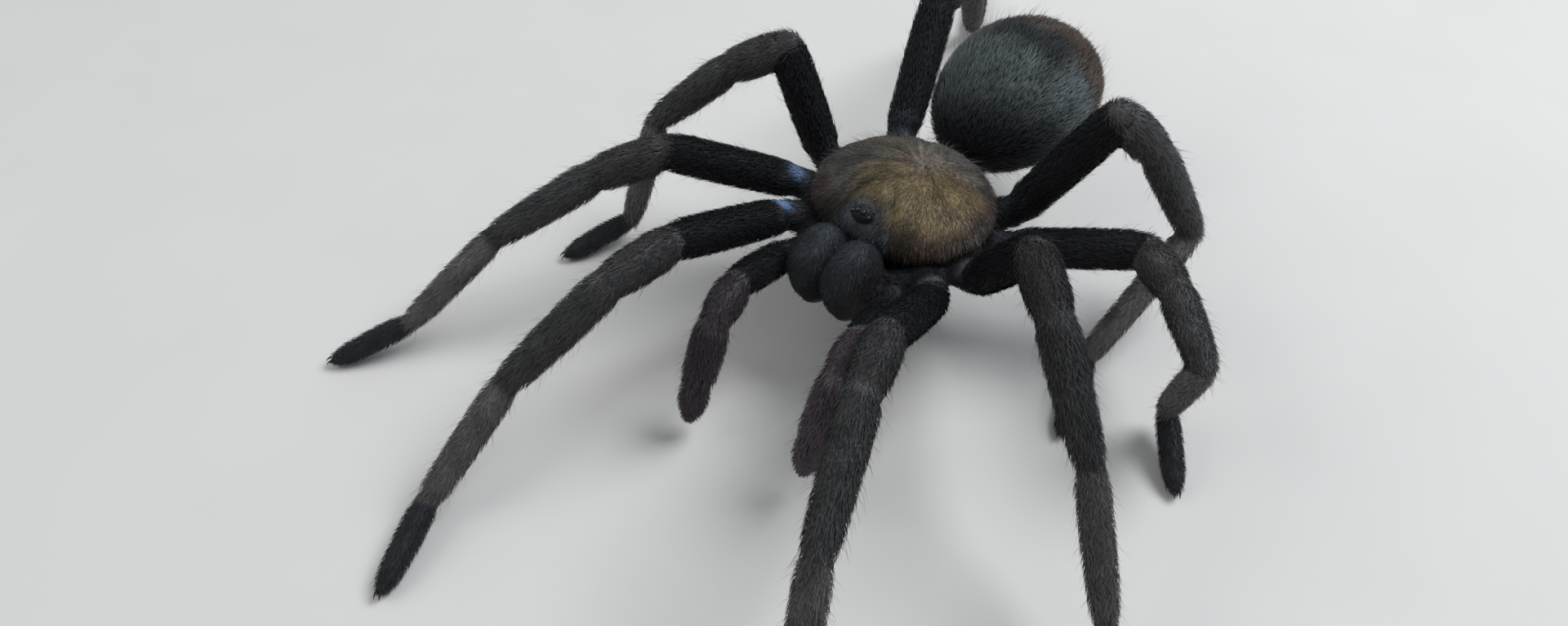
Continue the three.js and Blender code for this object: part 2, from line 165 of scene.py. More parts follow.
for name, limb in limbs.items():
    kind, joints = limb["kind"], limb["joints"]
    isLeg = "leg" in name
    distance = 0.0
    for i, part in enumerate(limb["parts"]):
        depth = coatDepth[part] * (1.0 if isLeg else limbShape["palpDepthShare"])
        start, end = joints[i], joints[i + 1]
        if part == "tarsus":  # the last ball ends level with the toe
            end = end - limb["ways"][i] * (0.0 if isLeg else kind["girths"][i + 1] * mm)
        addRod(start, end, kind["girths"][i] - depth, kind["girths"][i + 1] - depth, part, name,
               pinch=limbShape["pinch"], swell=limbShape["swell"], along=distance)
        distance += kind["lengths"][i] * mm
    hipX, hipY = limb["pose"]["side"] * limb["pose"]["hip"][0], limb["pose"]["hip"][1]
    root = bodyPoint(hipX * hipLook["rootShare"], hipY * hipLook["rootShare"], hipLook["rootZ"])
    addRod(root, joints[0], hipLook["rootRadius"] - coatDepth["coxa"],
           kind["girths"][0] - coatDepth["coxa"], "coxa", "underside", pinch=0.2)
    if limb["pose"]["pair"] == 1:  # a pair of mating hooks under the shin
        way = np.array(limb["ways"][2])
        down = np.array((0.0, 0.0, -1.0)) - way * -way[2]
        down /= np.linalg.norm(down)
        look = shinHookLook
        base = np.array(joints[2]) + way * kind["lengths"][2] * look["at"] * mm
        for reach, lean in look["tips"]:
            tip = base + down * reach * mm + way * (look["ahead"] + lean) * mm
            addRod(base + down * look["rootDown"] * mm, tip, *look["radii"], "hook", name, along=distance)

for side in (-1, 1):  # soft skin fills the gaps between the leg roots
    frontToBack = sorted(limbPose.values(), key=lambda pose: pose["pair"])
    sideHips = [pose["hip"] for pose in frontToBack if pose["side"] == side]
    share, radius = hipLook["gapShare"], hipLook["gapRadius"]
    between = [bodyPoint(side * x * share, y * share, hipLook["gapZ"]) for x, y in sideHips]
    for start, end in zip(between, between[1:]):
        addRod(start, end, radius, radius, "coxa", "underside")
addEgg("sternum", "underside")
addEgg("abdomen", "abdomen")
addTrunkRod(pedicelLook, "pedicel", "abdomen")
for side in (-1, 1):
    addEgg("chelicera", "face", side)
    look = spinneretLook
    way = bodyPlace.to_3x3() @ segmentWay(side, 180 - look["spread"], look["lift"])
    root = bodyPoint(side * look["x"], look["y"], look["z"])
    sunk = way * look["sunk"] * mm
    addRod(root - sunk, root + way * (look["length"] - 0.5) * mm, *look["radii"], "spinneret", "abdomen")
    short = root + Vector((-side * 0.2, 0, -0.9)) * mm  # the front pair is short and sits below
    addRod(short - sunk, short + way * look["shortLength"] * mm, *look["shortRadii"], "spinneret", "abdomen")
    # the jaw plates flank the mouth, between the root of each palp and the fang
    addTrunkRod(jawPlateLook, "coxa", "underside", side)
addTrunkRod(mouthLook, "chelicera", "underside")
print("flesh shapes:", len(flesh))


capBand = 0.17  # the share of a rod's bands that make each round end


def rodRadius(rod, share):
    length = np.linalg.norm(rod["end"] - rod["start"])
    near = np.exp(-(share * length / (0.9 * mm)) ** 2) + np.exp(-((1 - share) * length / (0.9 * mm)) ** 2)
    taper = rod["radii"][0] + (rod["radii"][1] - rod["radii"][0]) * share
    return taper + rod["swell"] * np.sin(np.pi * share) - rod["pinch"] * near


def modelRod(mesh, rod):
    # a ball drawn out along the rod: its two ends stay round, its middle bands spread along the length
    start, end = Vector(rod["start"]), Vector(rod["end"])
    turn = Vector((0, 0, 1)).rotation_difference(end - start).to_matrix()
    made = bmesh.ops.create_uvsphere(mesh, u_segments=20, v_segments=30, radius=1.0)
    for vert in made["verts"]:
        band = math.acos(max(-1.0, min(1.0, -vert.co.z))) / math.pi
        share = max(0.0, min(1.0, (band - capBand) / (1 - 2 * capBand)))
        polar = min(band, 1 - band, capBand) / capBand * math.pi / 2
        radius = float(rodRadius(rod, share))
        around = Vector((vert.co.x, vert.co.y, 0)).normalized() * math.sin(polar)
        outward = (-1 if band < 0.5 else 1) * math.cos(polar)
        vert.co = start + (end - start) * share + turn @ Vector((around.x, around.y, outward)) * radius


def modelEgg(mesh, egg):
    made = bmesh.ops.create_uvsphere(mesh, u_segments=48, v_segments=32, radius=1.0)
    for vert in made["verts"]:
        x, y, z = (math.copysign(abs(value) ** egg["fullness"], value) for value in vert.co)
        wide = 1 + egg["swell"] * y
        vert.co = Vector((x * egg["radii"][0] * wide * (1 + egg["taper"] * z), y * egg["radii"][1],
                          z * egg["radii"][2] * wide))
    place = Matrix.Translation(egg["centre"]) @ Matrix(egg["turn"].tolist()).to_4x4()
    bmesh.ops.transform(mesh, matrix=place, verts=made["verts"])
    if egg["part"] == "chelicera":
        for vert in made["verts"]:
            offset = egg["side"] * (vert.co.x - standPoint.x)
            vert.co.x = standPoint.x + egg["side"] * max(offset, cheekGap * mm)


def addObject(name, data):
    thing = bpy.data.objects.new(name, data)
    scene.collection.objects.link(thing)
    return thing


def objectFrom(mesh, name):
    data = bpy.data.meshes.new(name)
    mesh.to_mesh(data)
    mesh.free()
    return addObject(name, data)


def shadeSmooth(thing):
    setValues(thing.data.polygons, "use_smooth", np.ones(len(thing.data.polygons)), bool)


def smoothPiece(mesh, name, material):
    thing = objectFrom(mesh, name)
    shadeSmooth(thing)
    thing.data.materials.append(material)
    return thing


def settle(thing, name):
    # the modifiers are made part of the mesh
    graph = bpy.context.evaluated_depsgraph_get()
    data = bpy.data.meshes.new_from_object(thing.evaluated_get(graph))
    data.name = name
    thing.modifiers.clear()
    thing.data = data
    return thing


def readValues(items, key, width, kind=float):
    values = np.empty(len(items) * width, dtype=kind)
    items.foreach_get(key, values)
    return values.reshape(-1, width)


def setValues(items, key, values, kind=np.int32):
    items.foreach_set(key, np.asarray(values).astype(kind).ravel())


def readMesh(data):
    data.calc_loop_triangles()
    corners = readValues(data.loop_triangles, "vertices", 3, np.int64)
    return readValues(data.vertices, "co", 3), readValues(data.vertices, "normal", 3), corners


# the skin

skinLook = {"voxel": 0.34, "smooth": 0.5, "rounds": 5, "sole": 0.12}
work = bmesh.new()
for shape in flesh:
    if shape["shape"] == "rod":
        modelRod(work, shape)
    else:
        modelEgg(work, shape)
skin = objectFrom(work, "skin")
remesh = skin.modifiers.new("oneSurface", "REMESH")
remesh.mode = "VOXEL"
remesh.voxel_size = skinLook["voxel"] * mm
remesh.use_smooth_shade = True
soften = skin.modifiers.new("soften", "SMOOTH")
soften.factor = skinLook["smooth"]
soften.iterations = skinLook["rounds"]
settle(skin, "skin")
for vert in skin.data.vertices:  # the soles are flat, a coat's depth above the floor
    vert.co.z = max(vert.co.z, skinLook["sole"] * mm)
skinPoints, skinNormals, skinCorners = readMesh(skin.data)
print("skin:", len(skin.data.polygons), "faces")


# where a point of the skin lies: which shape it is on, how far along and round it

def measure(points, shape):
    # distance off the surface, way along in metres, turn round the shape, the way its hair lies
    if shape["shape"] == "rod":
        axis = shape["end"] - shape["start"]
        length = np.linalg.norm(axis)
        axis = axis / length
        inside = points - shape["start"]
        rise = inside @ axis
        share = np.clip(rise / length, 0, 1)
        off = inside - np.outer(share * length, axis)
        gap = np.linalg.norm(off, axis=1) - rodRadius(shape, share)
    else:
        axis = shape["turn"][:, 1]
        inside = points - shape["centre"]
        size = np.linalg.norm(inside @ shape["turn"] / shape["radii"], axis=1)
        gap = (size - 1) * shape["radii"].min() * 1.2
        rise = inside @ axis + shape["radii"][1]
        off = inside - np.outer(inside @ axis, axis)
    across = np.cross(axis, (0.0, 0.0, 1.0) if abs(axis[2]) < 0.9 else (0.0, 1.0, 0.0))
    across = across / np.linalg.norm(across)
    upper = np.cross(across, axis)
    turn = np.arctan2(off @ across, -(off @ upper))  # the join runs along the underside
    return gap, rise, turn, axis


def nearestShape(points):
    best = np.full(len(points), 1e9)
    owner = np.zeros(len(points), dtype=np.int64)
    for i, shape in enumerate(flesh):
        gap = np.abs(measure(points, shape)[0])
        closer = gap < best
        best[closer] = gap[closer]
        owner[closer] = i
    return owner


skinOwner = nearestShape(skinPoints)
ownerPiece = np.array([shape["piece"] for shape in flesh])
ownerPart = np.array([shape["part"] for shape in flesh])
print("skin sorted by part")

# colours of the coat, the same for the skin and every tuft that grows on it

coatTones = {
    "femur": (0.0078, 0.0078, 0.0090), "patella": (0.055, 0.053, 0.052), "tibia": (0.065, 0.064, 0.063),
    "metatarsus": (0.126, 0.119, 0.111), "tarsus": (0.019, 0.020, 0.023), "coxa": (0.009, 0.009, 0.011),
    "chelicera": (0.014, 0.014, 0.016), "sternum": (0.012, 0.011, 0.011), "pedicel": (0.012, 0.011, 0.011),
    "spinneret": (0.060, 0.050, 0.044), "hook": (0.020, 0.016, 0.014),
}
# the bluish hip tone is a painted sky reflection on shiny bare skin
limbTones = {"under": (0.040, 0.028, 0.030), "palp": (0.056, 0.041, 0.048),
             "ring": (0.150, 0.145, 0.142), "stripe": (0.085, 0.083, 0.080),
             "paintedHipGlint": (0.185, 0.305, 0.520), "hipArc": (0.100, 0.102, 0.108)}
# how bright the painted bluish sky reflection over a hip is, and the pale arcs round it, where it isn't as on
# the rest
paintedHipGlints = {"right_leg_1": 1.0, "right_leg_2": 0.6}
hipArcs = {"left_leg_1": 0.8, "left_leg_2": 0.6, "right_palp": 0.15, "left_palp": 0.15}
restPaintedGlint, restArc = 0.05, 0.35
# painted light and shade: some limbs are a little darker or paler than the rest beyond the thigh
paintedLimbLight = {"left_leg_1": 0.84, "left_leg_2": 0.7, "left_leg_3": 1.42, "left_leg_4": 1.3,
              "right_leg_2": 1.13, "right_leg_3": 1.25, "left_palp": 1.45}
# the black front is dark hair with painted shade, the bluish-green of the middle is partly painted sheen, the
# pale flank tone is painted sheen
abdomenTones = {"front": (0.002, 0.002, 0.003), "middle": (0.088, 0.106, 0.102),
                "patch": (0.020, 0.023, 0.025), "rear": (0.080, 0.051, 0.037),
                "flank": (0.128, 0.150, 0.156), "belly": (0.020, 0.018, 0.018)}
faceTones = {"top": (0.040, 0.046, 0.052), "low": (0.0012, 0.0020, 0.0042), "cheek": (0.066, 0.048, 0.045)}
# painted shade: the left jaw is darker than the right
leftJawPaintedShade = 0.82


def mixTone(base, other, share):
    return base + (np.asarray(other) - base) * np.asarray(share)[:, None]


def layTones(tones, base, layers):
    # each layer is a tone's name and how much of it lies at each point
    tone = np.tile(np.array(tones[base]), (len(layers[0][1]), 1))
    for name, share in layers:
        tone = mixTone(tone, tones[name], share)
    return tone


def smoothStep(value, low, high):
    x = np.clip((value - low) / (high - low), 0, 1)
    return x * x * (3 - 2 * x)


def bell(value, middle, width):
    return np.exp(-((value - middle) / width) ** 2)


def mottle(points, size, seed):
    # an uneven pattern of about -1 to 1, from waves that cross
    waves = np.random.default_rng(seed)
    total = np.zeros(len(points))
    for _ in range(9):
        way = waves.normal(size=3)
        way *= 2 * np.pi / (size * mm * waves.uniform(0.7, 1.6)) / np.linalg.norm(way)
        total += np.sin(points @ way + waves.uniform(0, 2 * np.pi))
    return total / 3


def limbTone(shape, points, normals):
    part = shape["part"]
    tone = np.tile(np.array(coatTones[part]), (len(points), 1))
    _, rise, turn, _ = measure(points, shape)
    rise = rise / mm
    upper = smoothStep(normals[:, 2], -0.2, 0.6)
    if "palp" in shape["piece"] and part != "femur":
        tone = mixTone(tone, limbTones["palp"], np.full(len(points), 0.9))
    if part in ("patella", "tibia", "metatarsus", "tarsus"):
        tone = mixTone(tone, limbTones["under"], smoothStep(-normals[:, 2], -0.2, 0.8) * 0.7)
        tone = mixTone(tone, limbTones["ring"], bell(rise, 0.1, 0.34) * upper * 0.8)
    if part in ("patella", "tibia"):  # two worn stripes along the top
        stripe = bell(np.pi - np.abs(turn), 0.42, 0.13) * smoothStep(rise, 0.8, 2.0)
        fade = 1.0 if part == "patella" else 1 - smoothStep(rise, 4.0, 8.0)
        tone = mixTone(tone, limbTones["stripe"], stripe * fade * 0.4)
    # beyond the thigh each limb gets its painted light and shade
    return tone if part == "femur" else tone * paintedLimbLight.get(shape["piece"], 1.0)


def hipPaintedGlintAndArcs(points, normals):
    # a painted bluish sky reflection in a spot on top of each hip joint's bare skin, and two pale arcs round
    # it
    spot, arc = np.zeros(len(points)), np.zeros(len(points))
    for name, limb in limbs.items():
        hip = np.array(limb["joints"][0])
        off = (points - hip) / mm
        near = np.linalg.norm(off, axis=1) < 3.4
        inward = np.array(standPoint) - hip
        inward[2] = 0.0
        along = off @ (inward / np.linalg.norm(inward))
        upper = smoothStep(normals[:, 2], -0.15, 0.45)
        bands = bell(along, -0.35, 0.28) + bell(along, 1.3, 0.42)
        arc = np.maximum(arc, near * upper * np.clip(bands, 0, 1) * hipArcs.get(name, restArc))
        fromTop = np.linalg.norm(off - np.array((0.0, -0.45, 1.5)), axis=1)
        spot = np.maximum(spot, np.exp(-(fromTop / 1.05) ** 4) * paintedHipGlints.get(name, restPaintedGlint))
    return spot, arc


def eggPlace(points, egg):
    return ((points - egg["centre"]) @ egg["turn"] / egg["radii"]).T


def abdomenTone(points, egg):
    x, y, z = eggPlace(points, egg)
    behind = y - 0.3 * x  # the black of the front runs a little slantwise
    wander = 0.05 * mottle(points, 2.2, 3)
    slant = y + 0.15 * x + wander
    patch = smoothStep(slant, 0.04, 0.18) * (1 - smoothStep(slant, 0.38, 0.56))
    patch *= (1 - smoothStep(np.abs(x), 0.45, 0.7)) * (z > 0)
    # painted shade deepens the black front, painted sheen tints the middle band and lights the flanks
    tone = layTones(abdomenTones, "front", (
        ("middle", smoothStep(behind, -0.95, -0.28) ** 1.2),
        ("flank", smoothStep(np.abs(x), 0.42, 0.9) * smoothStep(behind, -0.7, -0.2)),
        ("rear", smoothStep(y + 0.3 * np.abs(x) + wander, 0.32, 0.62) * 0.95),
        ("patch", patch * 0.92), ("belly", smoothStep(-z, 0.1, 0.6))))
    return tone * (1 + 0.16 * mottle(points, 3.2, 5))[:, None]


def faceTone(points, egg):
    x, _, z = eggPlace(points, egg)
    cheek = smoothStep(egg["side"] * x, 0.35, 0.85) * bell(z, 0.15, 0.45)
    tone = layTones(faceTones, "top", (("low", smoothStep(-z, -0.95, 0.3)), ("cheek", cheek * 0.8)))
    # the left jaw gets its painted shade
    return tone * (leftJawPaintedShade if egg["side"] > 0 else 1.0)


def coatColour(points, normals, owner):
    colour = np.zeros((len(points), 3))
    for i, shape in enumerate(flesh):
        pick = owner == i
        if not pick.any():
            continue
        if shape["part"] == "abdomen":
            colour[pick] = abdomenTone(points[pick], shape)
        elif shape["part"] == "chelicera" and shape["shape"] == "egg":
            colour[pick] = faceTone(points[pick], shape)
        else:
            colour[pick] = limbTone(shape, points[pick], normals[pick])
    byHip = np.isin(ownerPart[owner], ("femur", "coxa"))
    spot, arc = hipPaintedGlintAndArcs(points[byHip], normals[byHip])
    # the pale arcs, then the painted bluish sky reflection over the hips
    colour[byHip] = mixTone(mixTone(colour[byHip], limbTones["hipArc"], arc), limbTones["paintedHipGlint"], spot)
    return colour * (1 + 0.14 * mottle(points, 2.4, 7) + 0.08 * mottle(points, 0.7, 11))[:, None]


def storeColour(data, colour):
    layer = data.color_attributes.new("coatColour", "FLOAT_COLOR", "POINT")
    values = np.ones((len(data.vertices), 4), dtype=np.float32)
    values[:, :3] = colour
    layer.data.foreach_set("color", values.ravel())


storeColour(skin.data, coatColour(skinPoints, skinNormals, skinOwner) * 0.8)

# materials


def newMaterial(name):
    material = bpy.data.materials.new(name)
    material.use_nodes = True
    tree = material.node_tree
    tree.nodes.clear()
    shader = tree.nodes.new("ShaderNodeBsdfPrincipled")
    out = tree.nodes.new("ShaderNodeOutputMaterial")
    tree.links.new(shader.outputs["BSDF"], out.inputs["Surface"])
    return material, tree, shader


def setInputs(node, values):
    for socket, value in values.items():
        node.inputs[socket].default_value = value


def addNode(tree, kind, values):
    node = tree.nodes.new("ShaderNode" + kind)
    setInputs(node, values)
    return node


def joinNodes(tree, joins):
    # each join is a node, its output, the next node and its input
    for start, output, end, socket in joins:
        tree.links.new(start.outputs[output], end.inputs[socket])


def addNoise(tree, scale, detail=2.0):
    place = addNode(tree, "TexCoord", {})
    noise = addNode(tree, "TexNoise", {"Scale": scale, "Detail": detail})
    joinNodes(tree, ((place, "Object", noise, "Vector"),))
    return noise


def addRamp(tree, noise, shader, darkest, palest):
    ramp = addNode(tree, "ValToRGB", {})
    ramp.color_ramp.elements[0].color = (*darkest, 1)
    ramp.color_ramp.elements[1].color = (*palest, 1)
    joinNodes(tree, ((noise, "Fac", ramp, "Fac"), (ramp, "Color", shader, "Base Color")))


def roughenBy(grain, tree, shader, rough, strength, distance):
    # the grain makes the surface more and less rough, and raises it
    spread = addNode(tree, "MapRange", {"To Min": rough[0], "To Max": rough[1]})
    bump = addNode(tree, "Bump", {"Strength": strength, "Distance": distance})
    joinNodes(tree, ((grain, "Fac", spread, "Value"), (spread, "Result", shader, "Roughness"),
                     (grain, "Fac", bump, "Height"), (bump, "Normal", shader, "Normal")))


def coatMaterial(name, look):
    material, tree, shader = newMaterial(name)
    painted = addNode(tree, "Attribute", {})
    painted.attribute_name = "coatColour"
    patches = addNoise(tree, look["patchScale"], 4.0)
    spread = addNode(tree, "MapRange", {"To Min": look["dark"], "To Max": look["light"]})
    tint = addNode(tree, "Mix", {"Factor": 1.0})
    tint.data_type = "RGBA"
    tint.blend_type = "MULTIPLY"
    joinNodes(tree, ((patches, "Fac", spread, "Value"), (painted, "Color", tint, "A"),
                     (spread, "Result", tint, "B"), (tint, "Result", shader, "Base Color")))
    rough = (look["roughness"] - 0.08, look["roughness"] + 0.1)
    roughenBy(addNoise(tree, look["grainScale"], 3.0), tree, shader, rough, look["bump"], 0.0001)
    setInputs(shader, {"Specular IOR Level": look["specular"], "Sheen Weight": look["sheen"],
                       "Sheen Roughness": 0.45, "Sheen Tint": look["sheenTint"]})
    return material


hairSheen = {"patchScale": 420.0, "grainScale": 5200.0, "bump": 0.6, "specular": 0.22, "sheen": 0.06}
coatLooks = {
    "blackVelvet": {**hairSheen, "dark": 0.7, "light": 1.25, "roughness": 0.62, "sheen": 0.03,
                    "sheenTint": (0.75, 0.85, 1.0, 1.0)},
    "charcoalHair": {**hairSheen, "dark": 0.65, "light": 1.35, "roughness": 0.6,
                     "sheenTint": (0.8, 0.88, 1.0, 1.0)},
    "bronzeHair": {**hairSheen, "patchScale": 380.0, "grainScale": 5600.0, "dark": 0.6, "light": 1.45,
                   "roughness": 0.5, "specular": 0.4, "sheenTint": (1.0, 0.95, 0.8, 1.0)},
}
coats = {name: coatMaterial(name, look) for name, look in coatLooks.items()}
blackParts = ("femur", "coxa", "sternum", "pedicel")


def hornMaterial(name, colour, roughness, specular=0.5):
    material, tree, shader = newMaterial(name)
    streak = addNoise(tree, 900.0)
    addRamp(tree, streak, shader, [c * 0.6 for c in colour], [c * 1.6 for c in colour])
    roughenBy(streak, tree, shader, (roughness * 0.7, roughness * 1.4), 0.1, 0.00005)
    setInputs(shader, {"Specular IOR Level": specular})
    return material


skin.data.materials.append(coats["charcoalHair"])
skin.data.materials.append(coats["blackVelvet"])
isBlack = np.array([shape["part"] in blackParts for shape in flesh])
firstCorner = readValues(skin.data.polygons, "loop_start", 1, np.int64)[:, 0]
firstVert = readValues(skin.data.loops, "vertex_index", 1, np.int64)[firstCorner, 0]
setValues(skin.data.polygons, "material_index", isBlack[skinOwner[firstVert]])
shadeSmooth(skin)
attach(skin, "root")
fleshNodes = [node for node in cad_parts
              if not any(word in node for word in ("carapace", "eyes", "fang"))]
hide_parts(*fleshNodes)

# tufts: thin three-sided blades in two lengths, bent over toward the skin

tuftCorners = np.array([0, 1, 2, 0, 3, 4, 1, 1, 4, 5, 2, 2, 5, 3, 0, 3, 6, 4, 4, 6, 5, 5, 6, 3])
tuftSizes = np.array([3, 4, 4, 4, 3, 3, 3])
tuftPatch = np.array([(0, 0), (1, 0), (0.5, 0.25), (0.1, 0.5), (0.9, 0.5), (0.5, 0.7), (0.5, 1)])
patchSize = 0.003
# sunk and floorGap in mm; bendAt is the share of the length below the bend
tuftLook = {"sunk": 0.08, "floorGap": 0.03, "shortest": 0.05, "bendAt": 0.45, "bendWidth": 0.72,
            "flatness": 0.6, "shades": (0.55, 0.55, 0.55, 0.95, 0.95, 0.95, 1.3)}


def unitRows(rows):
    return rows / np.maximum(np.linalg.norm(rows, axis=1), 1e-12)[:, None]


def growTufts(name, roots, normals, lies, style, colour, places, materials, slots=0):
    # style holds one number per tuft: length, width, rise at the root and rise at the tip
    count = len(roots)
    flat = unitRows(lies - normals * np.sum(lies * normals, axis=1)[:, None])
    sway = chance.normal(0, 1, count) * style["sway"]
    side = np.cross(normals, flat)
    flat = flat * np.cos(sway)[:, None] + side * np.sin(sway)[:, None]
    side = np.cross(normals, flat)
    low = flat * np.cos(style["rise"])[:, None] + normals * np.sin(style["rise"])[:, None]
    high = flat * np.cos(style["tipRise"])[:, None] + normals * np.sin(style["tipRise"])[:, None]
    look = tuftLook
    below, beyond = look["bendAt"], 1 - look["bendAt"]
    start = roots - normals * look["sunk"] * mm
    fall = -(low[:, 2] * below + high[:, 2] * beyond)
    room = np.maximum(start[:, 2] - look["floorGap"] * mm, look["shortest"] * mm) / np.maximum(fall, 1e-6)
    length = np.minimum(style["length"], room)  # under the feet the hair ends at the floor
    middle = start + low * (length * below)[:, None]
    tip = middle + high * (length * beyond)[:, None]
    verts = np.empty((count, 7, 3))
    for ring, (centre, way, share) in enumerate(((start, low, 1.0), (middle, high, look["bendWidth"]))):
        upper = np.cross(way, side)
        for k in range(3):
            angle = math.radians(90 + 120 * k)
            swing = side * math.cos(angle) - upper * math.sin(angle) * look["flatness"]
            verts[:, ring * 3 + k] = centre + swing * (style["width"] * share / 2)[:, None]
    verts[:, 6] = tip
    data = bpy.data.meshes.new(name)
    loops = (tuftCorners[None, :] + np.arange(count)[:, None] * 7).ravel()
    sizes = np.tile(tuftSizes, count)
    data.vertices.add(count * 7)
    data.loops.add(len(loops))
    data.polygons.add(len(sizes))
    setValues(data.vertices, "co", verts, np.float32)
    setValues(data.loops, "vertex_index", loops)
    setValues(data.polygons, "loop_start", np.concatenate(([0], np.cumsum(sizes)[:-1])))
    setValues(data.polygons, "loop_total", sizes)
    setValues(data.polygons, "material_index", np.repeat(np.broadcast_to(slots, count), 7))
    setValues(data.polygons, "use_smooth", np.ones(len(sizes)), bool)
    data.update(calc_edges=True)
    patch = data.uv_layers.new(name="OFBake")
    corner = tuftPatch[tuftCorners] * patchSize - patchSize / 2
    spots = np.clip(places, patchSize, 1 - patchSize)[:, None, :] + corner[None, :, :]
    setValues(patch.data, "uv", spots, np.float32)
    tone = colour[:, None, :] * np.array(look["shades"])[None, :, None]
    storeColour(data, tone.reshape(-1, 3))
    for material in materials:
        data.materials.append(material)
    thing = addObject(name, data)
    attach(thing, "root")
    return thing


def scatter(points, normals, corners, weight, count):
    # roots spread over the faces by area and by the weight of each face
    a, b, c = points[corners[:, 0]], points[corners[:, 1]], points[corners[:, 2]]
    area = np.linalg.norm(np.cross(b - a, c - a), axis=1) / 2 * weight
    order = np.cumsum(area)
    spots = (np.arange(count) + chance.random(count)) / count * order[-1]
    face = np.minimum(np.searchsorted(order, spots), len(order) - 1)
    u, v = chance.random(count), chance.random(count)
    over = u + v > 1
    u[over], v[over] = 1 - u[over], 1 - v[over]
    w = 1 - u - v
    roots = a[face] * w[:, None] + b[face] * u[:, None] + c[face] * v[:, None]
    facing = unitRows(normals[corners[face, 0]] * w[:, None] + normals[corners[face, 1]] * u[:, None]
                      + normals[corners[face, 2]] * v[:, None])
    return roots, facing, face


# length and width in mm, rises in degrees; strays is the share of hairs that stand out, stray their length
hairColumns = ("length", "width", "rise", "tip", "density", "strays", "stray")
hairRows = {
    "femur": (1.1, 0.12, 28, 9, 1.0, 0.02, 1.7),
    "patella": (1.05, 0.115, 31, 11, 1.1, 0.03, 1.9),
    "tibia": (1.15, 0.115, 32, 12, 1.1, 0.04, 2.0),
    "metatarsus": (1.0, 0.105, 32, 12, 1.1, 0.04, 1.8),
    "tarsus": (0.72, 0.095, 38, 20, 1.25, 0.02, 1.2),
    "hook": (0.5, 0.08, 30, 10, 0.6, 0.0, 0.5),
    "coxa": (0.9, 0.11, 30, 11, 1.3, 0.02, 1.4),
    "sternum": (0.95, 0.12, 30, 12, 0.7, 0.02, 1.6),
    "pedicel": (0.6, 0.1, 30, 12, 0.6, 0.0, 0.6),
    "chelicera": (0.75, 0.09, 32, 12, 1.3, 0.03, 1.3),
    "spinneret": (0.6, 0.09, 30, 12, 1.0, 0.02, 1.1),
    "abdomen": (1.4, 0.11, 32, 13, 1.0, 0.05, 2.6),
}
hairStyles = {part: dict(zip(hairColumns, row)) for part, row in hairRows.items()}
# how hairs of one kind differ, and how much more the ones that stand out rise, in degrees
hairVary = {"length": (0.75, 1.25), "width": (0.75, 1.15), "turn": 5, "sway": 0.22, "strayRise": 18,
            "strayWidth": 0.38}
faceLie = bodyWay(0, -0.55, -1)  # the hair of the jaws lies forward on top and down in front
pieceBudget = {"leg": 11000, "palp": 4600, "abdomen": 19500, "face": 6500, "underside": 10200}
faceOwner = skinOwner[skinCorners[:, 0]]


